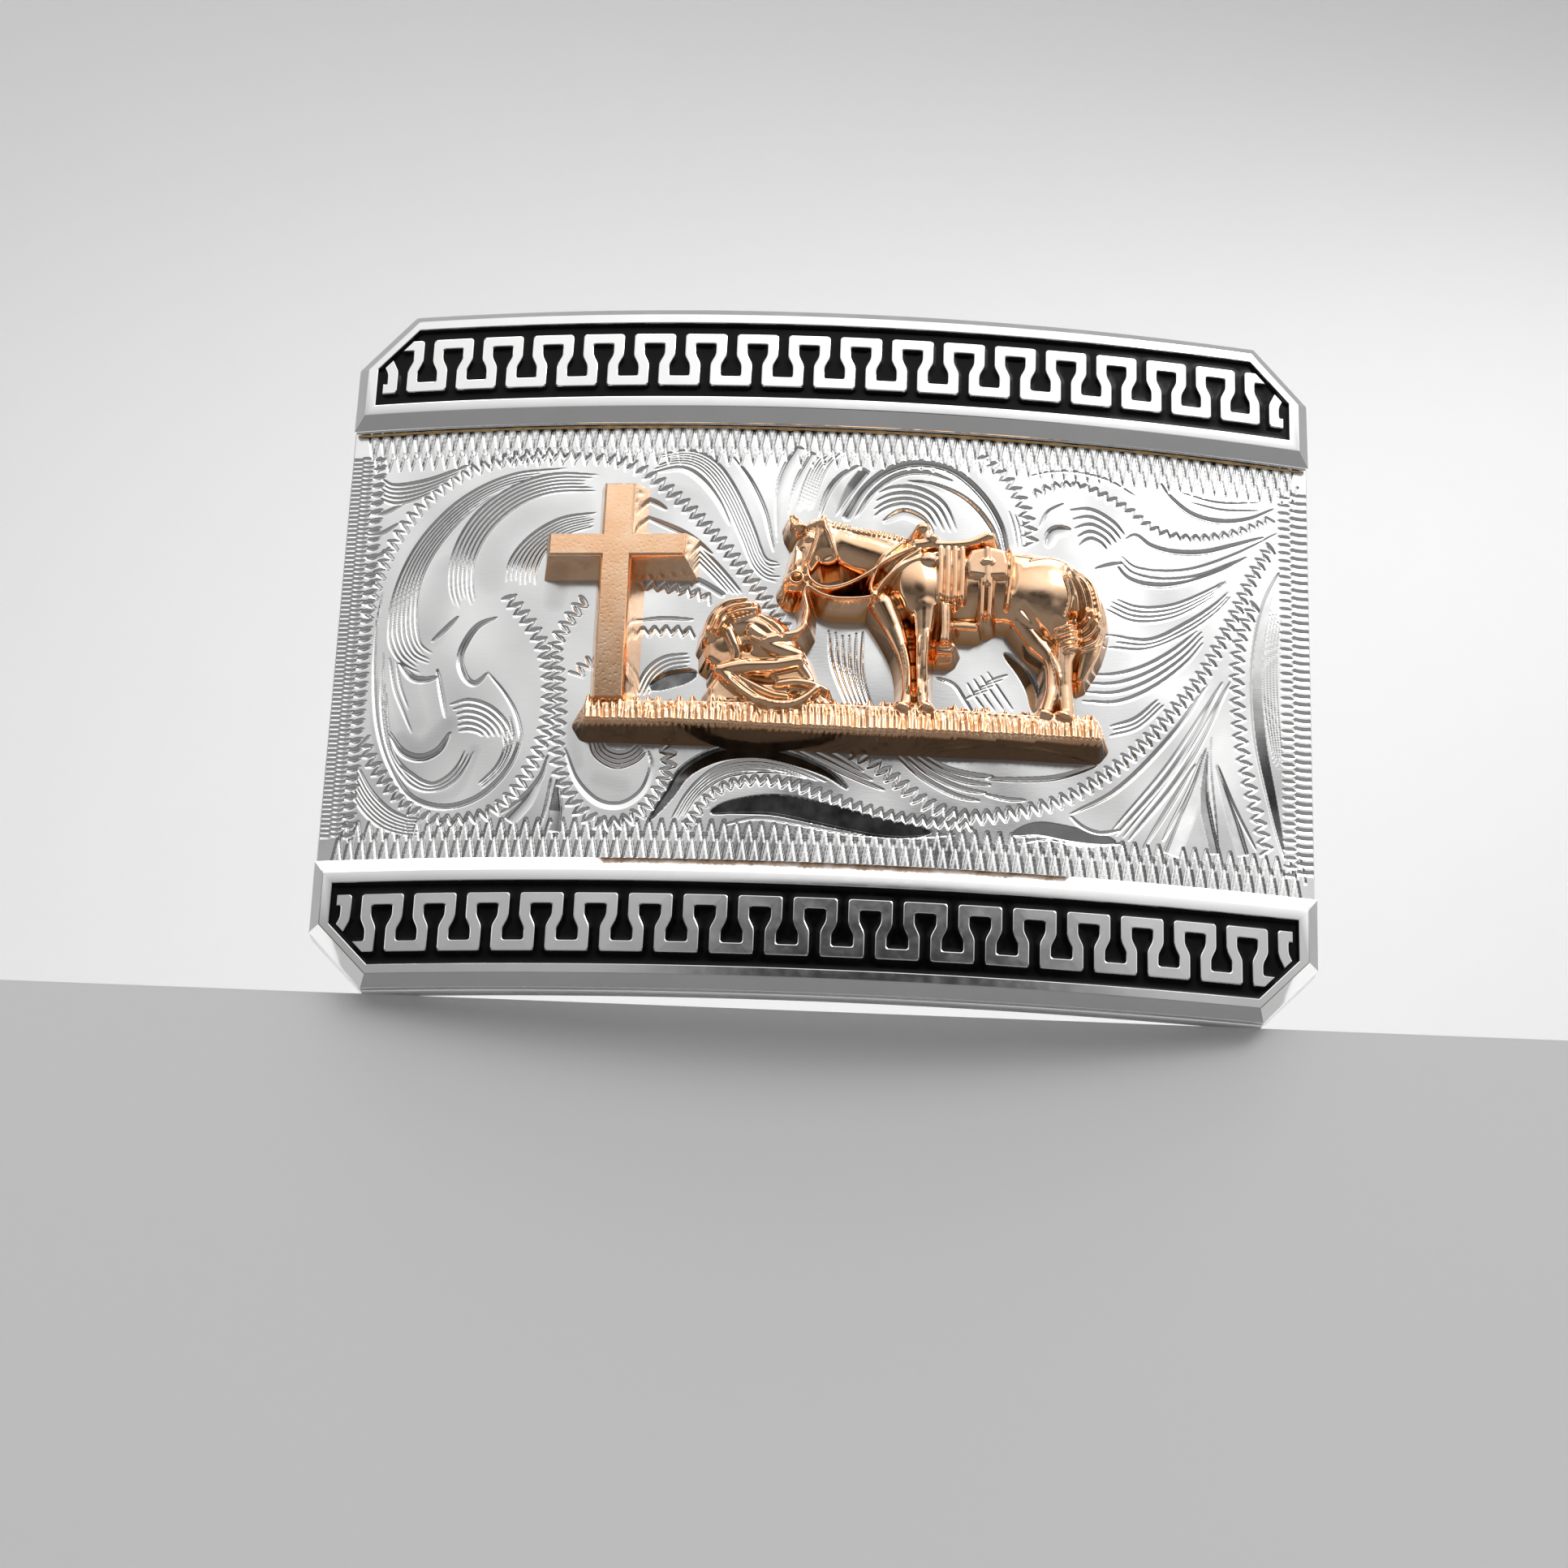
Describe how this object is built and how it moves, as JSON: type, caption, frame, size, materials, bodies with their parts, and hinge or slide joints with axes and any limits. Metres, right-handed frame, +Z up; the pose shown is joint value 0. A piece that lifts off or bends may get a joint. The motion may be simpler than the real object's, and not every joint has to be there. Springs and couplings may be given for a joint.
{
  "type": "belt buckle",
  "caption": "Western belt buckle: bent engraved silver plate, enamelled key-pattern bars, rose-gold cross, horse and kneeling figure, with a swinging bail and a hook behind.",
  "frame": {"origin": "centre of the box round the whole buckle, with the bail at its worn angle", "axes": "+X to the viewer's right, -Y out of the front face, +Z up as worn"},
  "size_m": [0.0888, 0.0174, 0.0654],
  "materials": {
    "engraved_silver": "bright-cut engraving on polished silver plate",
    "polished_silver": "mirror polished silver plate",
    "black_enamel": "glossy black enamel",
    "rose_gold": "polished rose-gold plate",
    "rivet_brass": "peened",
    "back_silver": "brushed nickel silver",
    "steel_wire": "plated steel wire"
  },
  "bodies": {
    "buckle": {"face_plate": "engraved_silver", "top_bar": "polished_silver", "bottom_bar": "polished_silver", "top_bar_enamel": "black_enamel", "bottom_bar_enamel": "black_enamel", "cross": "rose_gold", "figure_group": "rose_gold", "cross_rivets": "rivet_brass", "figure_rivets": "rivet_brass", "hinge_base": "back_silver", "hinge_tube": "back_silver", "hook_base": "back_silver", "hook_peg": "back_silver"},
    "bail": {"bail": "steel_wire"}
  },
  "joints": [
    {"name": "bail_swing", "type": "hinge", "parent": "buckle", "child": "bail", "pos_m": [0.027, 0.00326, 0], "axis": [0, 0, 1], "range_deg": [-8, 160]}
  ]
}
